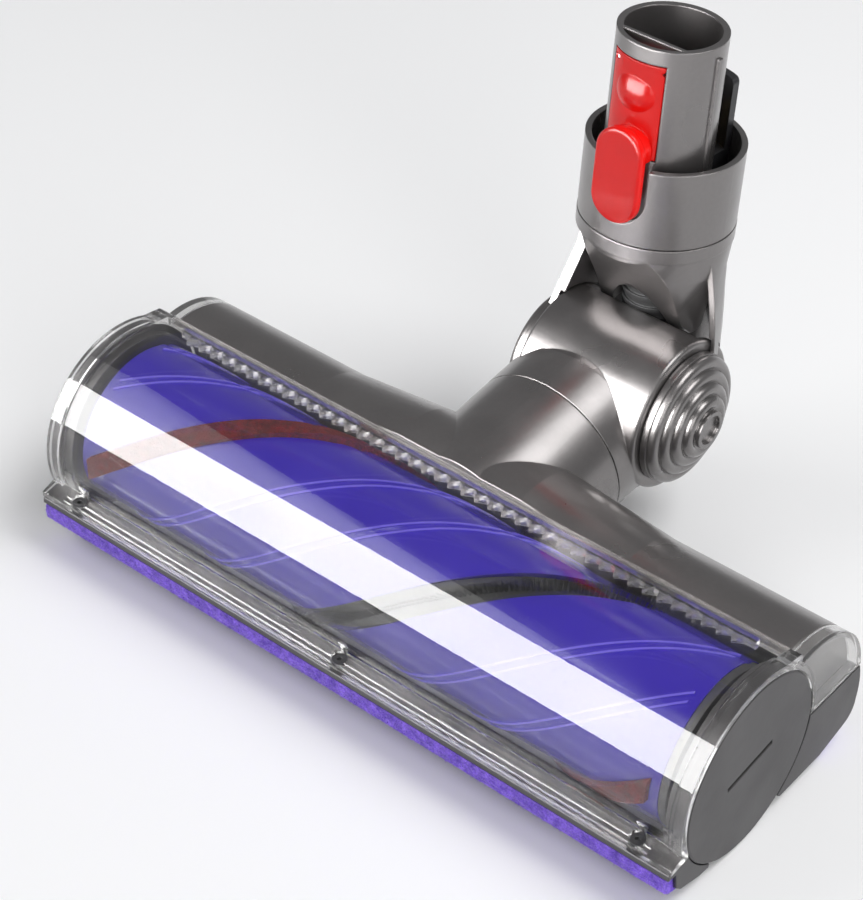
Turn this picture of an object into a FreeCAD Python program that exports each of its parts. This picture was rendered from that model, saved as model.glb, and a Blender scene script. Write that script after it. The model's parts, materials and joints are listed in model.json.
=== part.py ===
import FreeCAD, Part
import math
import os

Vector = FreeCAD.Vector
X_AXIS = Vector(1, 0, 0)
Y_AXIS = Vector(0, 1, 0)
Z_AXIS = Vector(0, 0, 1)

# Driving dimensions, in millimetres. X runs along the brush bar, +X at the release cap,
# -Y is the front with the felt, and the floor is at height 0 below the brush bar's axis.
head_length = 250.0
bar_height = 31.5
end_thickness = 4.0
end_wall = 3.5
running_gap = 0.3
seam_gap = 0.4
shaft_clearance = 0.05

# Clear cover
cover_radius = 32.7
cover_wall = 2.0
cover_rim_radius = 33.6
cover_rim_width = 4.6
cover_lip_y = 20.0
cover_lip_top = 60.9
cover_lip_height = 5.2
flange_front_y = -37.2
flange_front_z = 20.4
flange_thickness = 2.0
rail_height = 0.9
rail_width = 0.9
vane_count = 42
vane_length = 6.0
vane_radius = 29.6

# Rear housing and base
chamber_radius = 31.0
housing_wall = 2.2
wing_radius = 29.0
wing_centre_y = 28.5
wing_centre_z = 27.5
wing_end = 119.8
hump_rise = 4.8
hump_inner = 24.0
hump_outer = 62.0
parting_z = 28.4
sole_z = 4.0
sole_thickness = 2.4
mouth_half_length = 114.0
body_rear_y = 58.6
felt_thickness = 3.4

# Swivel neck: its axis leans up towards the back
seam_y = 67.0
seam_z = 37.9
duct_tilt = 6.1
duct_radius = 28.5
spigot_radius = 25.9
clip_reach = 1.0
spigot_length = 13.0
neck_bore_radius = 19.6
collar_length = 15.5

# Elbow
elbow_y = 98.6
elbow_z = 47.3
ball_radius = 25.8
ball_left = -19.8
ball_right = 28.8
ball_wall = 2.6
ball_opening_front = 66.0
ball_opening_rear = -38.0
arm_thickness = 2.2
arm_disc_radius = 22.4
elbow_pin_radius = 4.0
cap_ridges = 4
cap_ridge_pitch = 3.7
cap_ridge_rise = 1.8
cap_hub_radius = 6.5
hose_radius = 11.0
hose_wall = 1.2

# Wand socket, measured up from the elbow along the tube
wand_lean = 5.42
tube_offset = 12.85
tube_top = 121.9
tube_foot = 52.0
tube_radius = 17.2
tube_wall = 2.2
collar_offset = 3.9
collar_radius = 25.3
collar_wall = 2.0
collar_top = 83.4
collar_seam = 57.1
band_bottom = 51.9
facet_step = 3.5

# Release button
button_top = 116.6
button_bottom = 85.3
button_left = -10.5
button_right = 8.4
button_gap = 0.35
button_wall = 1.4
bump_height = 105.7
pad_top = 96.4
pad_bottom = 64.0
pad_centre = 0.6
pad_half_width = 8.6
pad_front = 23.6
notch_gap = 0.6
slot_chord = 9.6
slot_wall = 1.3
plate_top = 100.0

# Brush bar
core_radius = 26.5
core_bore = 20.2
core_left = -115.0
core_right = 112.0
twist_rate = -1.66
plush_angle = -4.6
plush_width = 8.5
plush_radius = 28.0
bristle_radius = 28.9
bristle_width = 2.6
carrier_width = 11.0
groove_floor = 22.8
strip_margin = 3.0

# Motor and gears, inside the bar
bucket_radius = 18.5
bucket_wall = 2.0
bucket_right = -20.0
motor_radius = 15.6
motor_left = -110.0
motor_right = -58.0
motor_shaft_radius = 1.6
gear_module = 0.7
sun_teeth = 12
planet_teeth = 12
planet_count = 3
gear_left = -50.0
gear_width = 9.0

# Wheels
wheel_radius = 7.0
wheel_width = 11.0
wheel_x = 62.0
wheel_y = 50.5
roller_radius = 3.4
roller_width = 14.0
roller_x = 88.0
roller_y = -24.6

# Circuit board, on posts in the left wing
board_left = -113.0
board_length = 38.0
board_y = 37.0
board_width = 12.0
board_rise = 3.0
board_thickness = 1.4

# Release cap
cap_radius = 30.8
slot_length = 22.0
slot_width = 1.8
slot_depth = 1.6
slot_tilt = 6.0
stub_radius = 8.0
stub_length = 14.0

half_length = head_length / 2
bar_axis = Vector(0, 0, bar_height)
duct_direction = Vector(0, math.cos(math.radians(duct_tilt)), math.sin(math.radians(duct_tilt)))
seam_point = Vector(0, seam_y, seam_z)
elbow = Vector(0, elbow_y, elbow_z)
parts = {}


def box(x0, x1, y0, y1, z0, z1):
    return Part.makeBox(x1 - x0, y1 - y0, z1 - z0, Vector(x0, y0, z0))


def cylinder(radius, start, direction, length):
    return Part.makeCylinder(radius, length, start, direction)


def disc_x(radius, x0, x1, y=0.0, z=bar_height):
    return cylinder(radius, Vector(x0, y, z), X_AXIS, x1 - x0)


def tube_x(outer, inner, x0, x1, y=0.0, z=bar_height):
    return disc_x(outer, x0, x1, y, z).cut(disc_x(inner, x0 - 1, x1 + 1, y, z))


def fuse(*shapes):
    return shapes[0].multiFuse(list(shapes[1:])).removeSplitter()


def group(shapes):
    return Part.makeCompound(shapes)


def polar(radius, angle, y=0.0, z=bar_height):
    """A (y, z) point at an angle from +Y about the brush bar's axis or another centre."""
    a = math.radians(angle)
    return (y + radius * math.cos(a), z + radius * math.sin(a))


def outline(steps, x=0.0):
    """A closed wire in a YZ plane: each step is a (y, z) corner or an arc's (mid, end) pair."""
    edges = []
    start = Vector(x, *steps[0])
    here = start
    for step in steps[1:]:
        if isinstance(step[0], tuple):
            mid = Vector(x, *step[0])
            end = Vector(x, *step[1])
            edges.append(Part.Arc(here, mid, end).toShape())
        else:
            end = Vector(x, *step)
            edges.append(Part.makeLine(here, end))
        here = end
    if (here - start).Length > 1e-6:
        edges.append(Part.makeLine(here, start))
    return Part.Wire(edges)


def prism_x(steps, x0, x1):
    return Part.Face(outline(steps, x0)).extrude(Vector(x1 - x0, 0, 0))


def on_both_ends(shape):
    return shape.mirror(Vector(0, 0, 0), X_AXIS)


def duct_point(distance, offset=0.0):
    """A point on the duct's axis, measured back from the seam with the swivel neck."""
    return seam_point + duct_direction * distance + Vector(0, 0, offset)


def duct_cylinder(radius, start, end):
    return cylinder(radius, duct_point(start), duct_direction, end - start)


def wing_profile(rise=0.0, inset=0.0, x=0.0):
    """The rear housing's section between the brush chamber and its round back."""
    chamber = chamber_radius + (housing_wall if inset else 0.0)
    radius = wing_radius - inset
    top_y = cover_lip_y + 1.9 + inset
    top_z = wing_centre_z + math.sqrt(radius ** 2 - (wing_centre_y - top_y) ** 2)
    floor_z = parting_z - (1.0 if inset else 0.0)
    rear_y = wing_centre_y + math.sqrt(radius ** 2 - (floor_z - wing_centre_z) ** 2)
    mid = polar(radius, 50, wing_centre_y, wing_centre_z)
    low_angle = math.degrees(math.asin((floor_z - bar_height) / chamber))
    high_z = min(top_z, 55.2 - inset)
    high_angle = math.degrees(math.asin((high_z - bar_height) / chamber))
    return outline([
        (top_y, top_z + rise),
        ((mid[0], mid[1] + rise), (rear_y, floor_z)),
        polar(chamber, low_angle),
        (polar(chamber, (low_angle + high_angle) / 2), polar(chamber, high_angle)),
        (top_y, high_z),
    ], x)


def make_cover():
    """The clear cover: a curved shell with an open flange in front and a ring at each end."""
    tangent = 78.0
    front = 196.5
    inner = cover_radius - cover_wall
    tail = polar(cover_radius, tangent)
    shell = prism_x([
        (flange_front_y, flange_front_z),
        polar(cover_radius, front),
        (polar(cover_radius, (front + tangent) / 2), tail),
        (cover_lip_y + 0.6, cover_lip_top),
        (cover_lip_y + 1.7, cover_lip_top - 0.9),
        (cover_lip_y + 1.7, cover_lip_top - cover_lip_height),
        (cover_lip_y - 0.2, cover_lip_top - cover_lip_height),
        (cover_lip_y - 0.2, cover_lip_top - cover_wall),
        polar(inner, tangent),
        (polar(inner, (front + tangent) / 2), polar(inner, front)),
        (polar(inner, front)[0], flange_front_z - flange_thickness + 1.0),
        (flange_front_y, flange_front_z - flange_thickness),
    ], -half_length, half_length)
    rim_inner = cap_radius + 0.35
    end = -4.5
    rim = prism_x([
        polar(cover_rim_radius, front),
        (polar(cover_rim_radius, (front + end) / 2), polar(cover_rim_radius, end)),
        polar(rim_inner, end),
        (polar(rim_inner, (front + end) / 2), polar(rim_inner, front)),
    ], half_length - cover_rim_width, half_length)
    window_sill = parting_z + 0.6
    window = wing_solid_at_end(window_sill)
    inside = window_cavity(window_sill)
    right = rim.fuse(window).cut(inside)
    clear_disc = disc_x(rim_inner, half_length - cover_rim_width - 1, half_length + 1)
    rails = []
    slope = math.atan2(polar(cover_radius, front)[1] - flange_front_z,
                       polar(cover_radius, front)[0] - flange_front_y)
    for share in (0.12, 0.42, 0.72):
        y = flange_front_y + share * 5.6
        z = flange_front_z + math.tan(slope) * (y - flange_front_y)
        rail = box(-half_length + 9, half_length - 9, y, y + rail_width, z - 0.6, z + rail_height)
        rails.append(rail)
    cover = fuse(shell, right, on_both_ends(right), *rails)
    bite = fuse(clear_disc, on_both_ends(clear_disc))
    cover = cover.cut(bite)
    for x in flange_screw_x():
        cover = cover.cut(cylinder(1.3, Vector(x, flange_screw_y(), 0), Z_AXIS, flange_front_z + 6))
        cover = cover.cut(cylinder(2.7, Vector(x, flange_screw_y(), flange_screw_seat()), Z_AXIS, 6))
    return cover


def flange_screw_x():
    return (-half_length + 14, 0.0, half_length - 14)


def flange_screw_y():
    return flange_front_y + 3.2


def flange_screw_seat():
    return flange_front_z - 0.4


def wing_solid_at_end(sill):
    """The window block that closes the wing's end, standing on the base's side wall."""
    body = Part.Face(wing_profile(x=wing_end + seam_gap)).extrude(
        Vector(half_length - wing_end - seam_gap, 0, 0))
    return body.common(box(0, half_length + 1, 0, 80, sill, 80))


def window_cavity(sill):
    face = Part.Face(wing_profile(inset=1.6, x=wing_end - 1))
    body = face.extrude(Vector(half_length - wing_end - 0.6, 0, 0))
    return body.common(box(0, half_length + 1, 0, 80, sill - 1, 80))


def make_vanes():
    """The clear comb under the cover's rear edge, whose teeth point at the brush bar."""
    top_z = cover_lip_top - cover_wall - 0.35
    rear_y = cover_lip_y - 0.5
    root = rear_y - 2.2
    low = 55.9
    pieces = [box(-mouth_half_length + 2, mouth_half_length - 2, root, rear_y, low, top_z)]
    pitch = 2 * (mouth_half_length - 8) / (vane_count - 1)
    tip_y = rear_y - vane_length
    for i in range(vane_count):
        x = -(mouth_half_length - 8) + i * pitch
        half = pitch * 0.36
        plan = Part.makePolygon([
            Vector(x - half, root + 0.5, low - 3),
            Vector(x, tip_y, low - 3),
            Vector(x + half, root + 0.5, low - 3),
            Vector(x - half, root + 0.5, low - 3),
        ])
        pieces.append(Part.Face(plan).extrude(Vector(0, 0, 8)))
    comb = pieces[0].multiFuse(pieces[1:])
    ceiling = prism_x([
        (tip_y - 1, 40.0),
        (rear_y + 0.01, 40.0),
        (rear_y + 0.01, top_z),
        (polar(cover_radius - cover_wall - 0.35, 78.0)[0], polar(cover_radius - cover_wall - 0.35, 78.0)[1]),
        (tip_y - 1, polar(cover_radius - cover_wall - 0.35, 78.0)[1]),
    ], -half_length, half_length)
    comb = comb.common(ceiling)
    return comb.cut(disc_x(vane_radius, -half_length, half_length))


def make_rear_housing():
    """Two wings and the duct's root in one shell, open underneath."""
    body = Part.Face(wing_profile(x=-wing_end)).extrude(Vector(2 * wing_end, 0, 0))
    hump = Part.makeLoft([
        wing_profile(x=-hump_outer),
        wing_profile(rise=hump_rise, x=-hump_inner),
    ], True, True)
    crown = Part.Face(wing_profile(rise=hump_rise, x=-hump_inner)).extrude(Vector(2 * hump_inner, 0, 0))
    start = -(seam_y - cover_lip_y)
    duct = duct_cylinder(duct_radius, start, 0)
    duct = duct.cut(box(-40, 40, -10, 47.5, -10, parting_z))
    duct = duct.common(box(-40, 40, cover_lip_y + 1.9, 90, 0, 90))
    duct = duct.cut(disc_x(chamber_radius, -40, 40))
    outer = fuse(body, hump, on_both_ends(hump), crown, duct)
    cavity = Part.Face(wing_profile(inset=housing_wall, x=-wing_end + housing_wall)).extrude(
        Vector(2 * (wing_end - housing_wall), 0, 0))
    outer = outer.cut(cavity)
    outer = outer.cut(duct_cylinder(spigot_radius + shaft_clearance, -spigot_length - 2.0, 1))
    outer = outer.cut(duct_cylinder(spigot_radius + clip_reach + 0.3, -6.1, -3.9))
    outer = outer.cut(duct_cylinder(22.6, -24, 0))
    for x, y in sole_screw_points():
        post = cylinder(3.2, Vector(x, y, sole_z + sole_thickness + seam_gap), Z_AXIS, 60)
        reach = Part.Face(wing_profile(inset=1.0, x=-wing_end)).extrude(Vector(2 * wing_end, 0, 0))
        under = box(-half_length, half_length, 0, 80, 0, parting_z + 6)
        post = post.common(reach.fuse(under)).cut(disc_x(chamber_radius + housing_wall + 0.4, -130, 130))
        outer = outer.fuse(post).cut(cylinder(1.0, Vector(x, y, 0), Z_AXIS, sole_z + 11.0))
    mouth = duct_cylinder(air_duct_radius() + running_gap, -60, 0)
    return outer.cut(mouth)


def air_duct_radius():
    return 19.0


def make_air_duct():
    """The short tube that leads the air from the brush chamber to the swivel neck."""
    outer = duct_cylinder(air_duct_radius(), -60, -spigot_length - 3.0)
    flange = duct_cylinder(22.3, -21, -spigot_length - 3.0)
    inner = duct_cylinder(air_duct_radius() - 2.0, -70, 10)
    piece = outer.fuse(flange).cut(inner)
    return piece.cut(disc_x(chamber_radius + 0.1, -60, 60)).common(box(-40, 40, 5, 90, 12, 90))


def base_profile():
    """The base behind the brush bar, from the parting line down to the sole."""
    ring = chamber_radius
    top_angle = math.degrees(math.asin((parting_z - seam_gap - bar_height) / ring))
    low_angle = -math.degrees(math.acos(17.0 / ring))
    low = polar(ring, low_angle)
    rear_top = wing_centre_y + math.sqrt(wing_radius ** 2 - (parting_z - wing_centre_z) ** 2)
    return [
        polar(ring, top_angle),
        (rear_top, parting_z - seam_gap),
        ((body_rear_y, 20.5), (57.8, 13.6)),
        ((56.3, 9.6), (53.2, 7.4)),
        (40.0, sole_z),
        (low[0] + 1.5, sole_z),
        low,
        (polar(ring, (top_angle + low_angle) / 2), polar(ring, top_angle)),
    ]


def base_cavity():
    ring = chamber_radius + housing_wall
    floor = sole_z + sole_thickness
    low_angle = -math.degrees(math.asin((bar_height - floor) / ring)) + 3
    top_angle = math.degrees(math.asin((parting_z + 1 - bar_height) / ring))
    low = polar(ring, low_angle)
    return [
        polar(ring, top_angle),
        (55.2, parting_z + 1),
        (56.2, 20.5),
        (54.6, 13.2),
        (50.6, floor + 2.2),
        (39.5, floor),
        (low[0] + 1.0, floor),
        low,
        (polar(ring, (low_angle + top_angle) / 2), polar(ring, top_angle)),
    ]


def front_profile():
    """The beam in front of the brush bar that carries the felt and the cover's flange."""
    ring = chamber_radius
    low_angle = 180 + math.degrees(math.acos(16.5 / ring))
    top = flange_front_z - flange_thickness - 0.1
    high_angle = 180 + math.degrees(math.asin((bar_height - top - 1.0) / ring))
    low = polar(ring, low_angle)
    return [
        (flange_front_y - 0.3, top),
        (polar(ring, high_angle)[0], top + 1.0),
        (polar(ring, (low_angle + high_angle) / 2), low),
        (low[0] - 0.5, sole_z),
        (-21.7, sole_z + 0.4),
        (-31.0, 7.4),
        (-33.2, 9.6),
        (-33.9, 15.9),
        (flange_front_y - 0.5, 16.4),
    ]


def make_base():
    """The lower frame: a tray behind the bar, a beam before it and a ring wall at each end."""
    tray = prism_x(base_profile(), -half_length, half_length)
    tray = tray.cut(prism_x(base_cavity(), -half_length + 5.0, half_length - 5.0))
    beam = prism_x(front_profile(), -half_length + 0.5, half_length - 0.5)
    wall_outer = half_length - end_thickness - 0.5
    wall_inner = wall_outer - end_wall
    ring = tube_x(chamber_radius + 0.6, vane_radius + 0.2, wall_inner, wall_outer)
    ring = ring.common(box(0, half_length, -40, 40, 1.2, parting_z - seam_gap))
    shave = tube_x(40.0, cover_radius - cover_wall - 0.35, 0, half_length).common(
        box(0, half_length, -40, 0, flange_front_z - flange_thickness, 40))
    ring = ring.cut(shave)
    frame = fuse(tray, beam, ring, on_both_ends(ring))
    recess = disc_x(cap_radius + 0.35, wall_outer, half_length + 1)
    frame = frame.cut(recess).cut(on_both_ends(recess))
    notch = duct_cylinder(duct_radius + 0.3, -24, 5)
    frame = frame.cut(notch)
    frame = frame.cut(duct_cylinder(air_duct_radius() + running_gap, -80, -10))
    for side in (-1, 1):
        x = side * wheel_x
        half = wheel_width / 2 + 0.6
        well = box(x - half, x + half, wheel_y - wheel_radius - 1, body_rear_y + 2, -1, 15.2)
        shell = box(x - half - 1.8, x + half + 1.8, wheel_y - wheel_radius - 2.8, 57.2, sole_z + 0.5, 17.0)
        frame = frame.fuse(shell.common(prism_x(base_profile(), -half_length, half_length))).cut(well)
        x = side * roller_x
        half = roller_width / 2 + 0.5
        pocket = box(x - half, x + half, roller_y - roller_radius - 0.5, roller_y + roller_radius + 0.5, -1,
                     2 * roller_radius + 0.6)
        frame = frame.cut(pocket)
        frame = frame.cut(disc_x(1.0, x - half - 2.5, x + half + 2.5, roller_y, roller_radius))
        x = side * wheel_x
        half = wheel_width / 2 + 2.4
        frame = frame.cut(disc_x(1.5, x - half, x + half, wheel_y, wheel_radius))
    for x in flange_screw_x():
        frame = frame.cut(cylinder(1.0, Vector(x, flange_screw_y(), 15.0), Z_AXIS, 12))
    for x, y in sole_screw_points():
        frame = frame.cut(cylinder(2.6, Vector(x, y, -1), Z_AXIS, sole_z + 2.6))
        frame = frame.cut(cylinder(1.1, Vector(x, y, -1), Z_AXIS, 12.0))
    for x in (board_left + 4.0, board_left + board_length - 4.0):
        for y in (board_y + 2.0, board_y + board_width - 2.0):
            foot = sole_z + sole_thickness - 0.5 + 0.16 * (y - board_y)
            rise = sole_z + sole_thickness + board_rise - foot
            frame = frame.fuse(cylinder(1.8, Vector(x, y, foot), Z_AXIS, rise))
    return frame


def sole_screw_points():
    return [(side * x, 37.0) for side in (-1, 1) for x in (30.0, 70.5)]


def make_screw(x, y, z, direction, shank=8.0, head=1.9, radius=1.0):
    """A pan head screw, with its head's underside at the given point."""
    top = Vector(x, y, z)
    screw = cylinder(radius, top - direction * shank, direction, shank + 0.2)
    crown = cylinder(head, top, direction, 1.3)
    socket = cylinder(0.8, top + direction * 0.6, direction, 1.0)
    return screw.fuse(crown).removeSplitter().cut(socket)


def make_felts():
    front = prism_x([
        (-31.3, 7.6),
        (-33.5, 9.5),
        (-34.2, 15.6),
        (flange_front_y - 0.4, 16.1),
        (-38.0, 13.2),
        (-37.6, 10.6),
        (-35.4, 8.8),
    ], -half_length + 1.5, half_length - 1.5)
    front = front.translated(Vector(0, -0.05, -0.1))
    strip = prism_x([
        (40.4, sole_z - 0.05),
        (53.0, 7.25),
        (54.4, 6.6),
        (53.0, 4.6),
        (42.5, 1.6),
        (40.6, 1.9),
    ], wheel_x + wheel_width / 2 + 4, half_length - 1.5)
    return front, group([strip, on_both_ends(strip)])


def twisted(section, x0, x1, pieces=26):
    """A section, given as (tangential, radius) corners, wound round the bar's axis."""
    wires = []
    for i in range(pieces + 1):
        x = x0 + (x1 - x0) * i / pieces
        turn = math.radians(twist_rate * x)
        corners = []
        for across, radius, angle in section:
            a = turn + math.radians(angle)
            y = radius * math.cos(a) - across * math.sin(a)
            z = radius * math.sin(a) + across * math.cos(a)
            corners.append(Vector(x, y, bar_height + z))
        corners.append(corners[0])
        wires.append(Part.makePolygon(corners))
    return Part.makeLoft(wires, True, False)


def strip_section(width, low, high, angle, crown=0.0):
    half = width / 2
    return [(-half, low, angle), (half, low, angle), (half, high - crown, angle), (-half, high - crown, angle)]


def make_brush_bar():
    bristle_angle = plush_angle + 180.0
    left = core_left + strip_margin
    right = core_right - strip_margin
    core = tube_x(core_radius, core_bore, core_left, core_right)
    web = tube_x(core_bore, 7.05, drive_left(), drive_left() + 8.0)
    core = core.fuse(web).removeSplitter()
    plush_groove = twisted(strip_section(plush_width, groove_floor, 30.0, plush_angle), left, right)
    bristle_groove = twisted(strip_section(carrier_width, groove_floor, 30.0, bristle_angle), left, right)
    core = core.cut(plush_groove).cut(bristle_groove)
    ridges = []
    for strip in (plush_angle, bristle_angle):
        for share in (62.0, 112.0):
            for step in (0.0, 7.0):
                section = strip_section(0.8, core_radius - 1.0, core_radius + 0.5, strip + share + step)
                ridges.append(twisted(section, left, right))
    core = core.multiFuse(ridges)
    plush_section = strip_section(plush_width - 0.2, groove_floor + 1.2, plush_radius - 0.2, plush_angle)
    plush = twisted(plush_section, left + 0.3, right - 0.3)
    backing_section = strip_section(plush_width - 0.2, groove_floor + 0.02, groove_floor + 1.2, plush_angle)
    backing = twisted(backing_section, left + 0.3, right - 0.3)
    carrier_section = strip_section(carrier_width - 0.2, groove_floor + 0.02, groove_floor + 1.6, bristle_angle)
    carrier = twisted(carrier_section, left + 0.3, right - 0.3)
    bristle_section = strip_section(bristle_width, groove_floor + 1.6, bristle_radius - 0.1, bristle_angle)
    bristles = twisted(bristle_section, left + 0.3, right - 0.3)
    parts["brush_core"] = core
    parts["plush_strip"] = plush
    parts["plush_backing"] = backing
    parts["bristle_carrier"] = carrier
    parts["bristle_strip"] = bristles
    plug = disc_x(core_radius - 0.4, core_right, core_right + 2.6)
    plug = plug.fuse(disc_x(core_bore, core_right - 16.0, core_right)).removeSplitter()
    bush_outer = stub_radius + shaft_clearance + 2.0
    plug = plug.cut(disc_x(bush_outer, core_right - 13.0, core_right + 4))
    parts["bar_end_plug"] = plug
    parts["cap_bush"] = tube_x(bush_outer, stub_radius + shaft_clearance, core_right - 12.0, core_right + 2.6)
    parts["motor_end_bush"] = tube_x(core_bore, bucket_radius + shaft_clearance, core_left + 0.5, core_left + 8.5)


def drive_left():
    return bucket_right + 2.0


def gear_outline(teeth, tip, root, slack, phase=0.0, x=0.0, y=0.0, z=0.0):
    """A spur gear's outline with involute flanks taken at four radii a side."""
    pitch = gear_module * teeth / 2
    base = pitch * math.cos(math.radians(20))

    def involute(radius):
        if radius <= base:
            return 0.0
        a = math.acos(base / radius)
        return math.tan(a) - a

    points = []
    levels = [root, max(root + 0.05, base), pitch, tip]
    for i in range(teeth):
        centre = math.radians(phase) + 2 * math.pi * i / teeth
        flank = []
        for radius in levels:
            half = math.pi / (2 * teeth) + involute(pitch) - involute(radius) - slack / pitch
            flank.append((radius, half))
        for radius, half in flank:
            points.append((radius, centre - half))
        for radius, half in reversed(flank):
            points.append((radius, centre + half))
    corners = [Vector(x, y + r * math.cos(a), z + r * math.sin(a)) for r, a in points]
    corners.append(corners[0])
    return Part.Face(Part.makePolygon(corners))


def make_motor():
    """The motor stands in a tube inside the bar and drives it through planet gears."""
    sun_pitch = gear_module * sun_teeth / 2
    planet_pitch = gear_module * planet_teeth / 2
    ring_teeth = sun_teeth + 2 * planet_teeth
    ring_pitch = gear_module * ring_teeth / 2
    addendum = 0.6 * gear_module
    dedendum = 0.9 * gear_module
    slack = 0.05
    arm = sun_pitch + planet_pitch
    plate_right = -half_length + end_thickness
    wall_right = plate_right + 0.5 + end_wall
    plate = disc_x(cap_radius, -half_length, plate_right)
    plate = plate.makeChamfer(0.6, [e for e in plate.Edges if e.BoundBox.XMax < -half_length + 0.1])
    flange = disc_x(cap_radius - 2.2, plate_right, wall_right - 0.6)
    plate = plate.fuse(flange).removeSplitter().cut(disc_x(4.0, plate_right - 1.0, wall_right))
    bucket_left = wall_right - 0.6
    bucket = tube_x(bucket_radius, bucket_radius - bucket_wall, bucket_left, bucket_right)
    bucket_foot = tube_x(bucket_radius + 4.2, 6.0, bucket_left, bucket_left + 1.8)
    nose = tube_x(bucket_radius - bucket_wall, 5.2, bucket_right - 2.0, bucket_right)
    bucket = fuse(bucket, bucket_foot, nose)
    screws = []
    for k in range(3):
        y, z = polar(bucket_radius + 2.0, 90 + 120 * k)
        hole = disc_x(1.1, bucket_left - 3.0, bucket_left + 3.0, y, z)
        bucket = bucket.cut(hole)
        plate = plate.cut(disc_x(1.1, bucket_left - 3.2, bucket_left + 1, y, z))
        bucket = bucket.cut(disc_x(2.1, bucket_left + 0.9, bucket_left + 3.0, y, z))
        screws.append(make_screw(bucket_left + 0.9, y, z, X_AXIS, shank=3.9, head=2.0, radius=1.1))
    parts["motor_end_plate"] = plate
    parts["motor_bucket"] = bucket
    parts["motor_screws"] = group(screws)
    can = tube_x(motor_radius, motor_radius - 1.4, motor_left, motor_right)
    front_bell = tube_x(motor_radius - 1.4, 3.0, motor_right - 2.0, motor_right)
    rear_bell = tube_x(motor_radius - 1.4, 3.0, motor_left, motor_left + 2.0)
    parts["motor_can"] = fuse(can, front_bell, rear_bell)
    magnets = tube_x(motor_radius - 1.4, motor_radius - 4.0, motor_left + 8, motor_right - 8)
    parts["motor_magnets"] = magnets.cut(box(-200, 200, -1.2, 1.2, 0, 80))
    mount = tube_x(bucket_radius - bucket_wall, motor_radius - 6.0, motor_right, motor_right + 2.0)
    parts["motor_mount_ring"] = mount
    bearings = []
    for x0 in (motor_left + 0.1, motor_right - 1.9):
        bearings.append(tube_x(3.0, motor_shaft_radius + shaft_clearance, x0, x0 + 1.8))
    parts["motor_bearings"] = group(bearings)
    stack = disc_x(motor_radius - 4.6, motor_left + 9, motor_right - 9)
    for k in range(6):
        y, z = polar(motor_radius - 5.0, 60 * k)
        stack = stack.cut(box(motor_left, motor_right, -0.7, 0.7, motor_radius - 8.6, 20).rotated(
            Vector(0, 0, 0), X_AXIS, 60 * k).translated(Vector(0, 0, bar_height)))
    gear_x = gear_left + gear_width
    shaft = disc_x(motor_shaft_radius, motor_left - 3, gear_x)
    commutator = disc_x(4.2, motor_left + 3.5, motor_left + 8.5)
    parts["motor_armature"] = fuse(stack, commutator, shaft)
    sun = gear_outline(sun_teeth, sun_pitch + addendum, sun_pitch - dedendum, slack, 90.0, gear_left + 0.5,
                       0.0, bar_height).extrude(Vector(gear_width - 1.0, 0, 0))
    parts["sun_gear"] = sun.cut(disc_x(motor_shaft_radius, gear_left - 1, gear_x + 1))
    ring_bore = gear_outline(ring_teeth, ring_pitch + dedendum, ring_pitch - addendum, -slack,
                             90.0 + 180.0 / ring_teeth, gear_left - 1, 0.0, bar_height)
    ring = disc_x(bucket_radius - bucket_wall, gear_left, gear_x)
    parts["ring_gear"] = ring.cut(ring_bore.extrude(Vector(gear_width + 2, 0, 0)))
    carrier = disc_x(11.6, gear_x + 0.6, gear_x + 3.6)
    carrier = carrier.fuse(disc_x(5.1, gear_x + 3.6, drive_left() + 1.0)).removeSplitter()
    dog = Part.Face(outline([polar(7.0, 60 * k) for k in range(6)], drive_left())).extrude(
        Vector(7.4, 0, 0))
    carrier = carrier.fuse(dog).removeSplitter()
    pins = []
    for k in range(planet_count):
        angle = 90 + 360 / planet_count * k
        y, z = polar(arm, angle)
        carrier = carrier.cut(disc_x(1.0, gear_x, gear_x + 4, y, z))
        pins.append(disc_x(1.0, gear_left + 0.6, gear_x + 3.6, y, z))
        tooth = angle + 180 + 180 / planet_teeth
        planet = gear_outline(planet_teeth, planet_pitch + addendum, planet_pitch - dedendum, slack, tooth,
                              gear_left + 0.6, y, z).extrude(Vector(gear_width - 1.0, 0, 0))
        planet = planet.cut(disc_x(1.0 + shaft_clearance, gear_left - 1, gear_x + 1, y, z))
        parts["planet_gear_%d" % (k + 1)] = planet
    parts["planet_carrier"] = carrier
    parts["planet_pins"] = group(pins)


def make_end_cap():
    x0 = half_length - end_thickness
    cap = disc_x(cap_radius, x0, half_length)
    cap = cap.makeChamfer(0.6, [e for e in cap.Edges if e.BoundBox.XMin > half_length - 0.1])
    skirt = disc_x(vane_radius - 0.6, x0 - 4.0, x0).cut(disc_x(vane_radius - 3.0, x0 - 5.0, x0 - 1.2))
    slot = box(half_length - slot_depth, half_length + 1, -slot_length / 2, slot_length / 2,
               -slot_width / 2, slot_width / 2)
    slot = slot.rotated(Vector(0, 0, 0), X_AXIS, slot_tilt).translated(Vector(0, -0.7, bar_height + 1.6))
    hub = disc_x(stub_radius + 3.0, core_right + 3.0, x0 + 0.5).cut(disc_x(stub_radius, 0, x0 - 2.0))
    parts["end_cap"] = fuse(cap, skirt, hub).cut(slot)
    parts["cap_stub"] = disc_x(stub_radius, core_right - 11.0, x0 - 2.0)


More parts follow.
